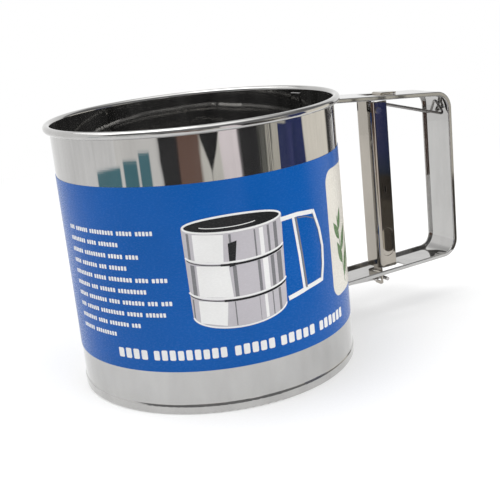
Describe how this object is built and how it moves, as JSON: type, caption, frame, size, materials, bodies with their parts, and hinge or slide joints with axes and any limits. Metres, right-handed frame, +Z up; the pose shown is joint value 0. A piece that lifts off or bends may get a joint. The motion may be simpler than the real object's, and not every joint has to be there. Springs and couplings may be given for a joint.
{
  "type": "flour sifter",
  "caption": "Squeeze-handle flour sifter: round polished steel cup with woven screen, tripod bracket, swinging star agitator, wire link and sprung trigger.",
  "frame": {"origin": "centre of the cup's foot, on the plane that it stands on", "axes": "+Z up along the cup's axis, +X towards the handle"},
  "size_m": [0.2098, 0.1356, 0.123],
  "materials": {
    "polished_steel": "mirror-polished stainless sheet",
    "pressed_steel": "polished pressing with drawn marks",
    "wire_steel": "drawn wire",
    "woven_wire": "fine woven wire cloth",
    "spring_steel": "dark drawn spring wire",
    "printed_paper": "glossy printed paper"
  },
  "bodies": {
    "cup": {"cup_shell": "polished_steel", "rod_eyelet": "polished_steel", "paper_wrap": "printed_paper", "screen_mesh": "woven_wire", "screen_hoop": "pressed_steel", "screen_clamp_ring": "pressed_steel", "tripod_bracket": "polished_steel", "pivot_rivet": "wire_steel", "pivot_spacer": "wire_steel", "handle_strip": "polished_steel", "upper_handle_rivet": "polished_steel", "lower_handle_rivets": "polished_steel"},
    "trigger": {"trigger_lever": "polished_steel", "spring_pin": "wire_steel", "return_spring": "spring_steel"},
    "rod": {"link_rod": "wire_steel"},
    "agitator": {"agitator_star": "pressed_steel", "hub_spacer": "pressed_steel", "crank_plate": "pressed_steel", "hub_bush": "wire_steel", "crank_rivets": "wire_steel"}
  },
  "joints": [
    {"name": "trigger_swing", "type": "hinge", "parent": "cup", "child": "trigger", "pos_m": [0.1042, 0, 0.1133], "axis": [0, -1, 0], "range_deg": [0, 8.22], "stiffness_Nm_per_rad": 1.5, "springref_deg": -14.32, "deforming": ["return_spring"]},
    {"name": "rod_slide", "type": "slide", "parent": "cup", "child": "rod", "axis": [0.9889, -0.1488, 0], "range_m": [-0.0001, 0.01389]},
    {"name": "agitator_swing", "type": "hinge", "parent": "cup", "child": "agitator", "pos_m": [0, 0, 0.0136], "axis": [0, 0, 1], "range_deg": [-62.1, 0.2]}
  ],
  "couplings": [
    {"joint": "rod_slide", "follows": "trigger_swing", "m_per_rad": 0.09614},
    {"joint": "agitator_swing", "follows": "trigger_swing", "ratio": -7.5301}
  ]
}
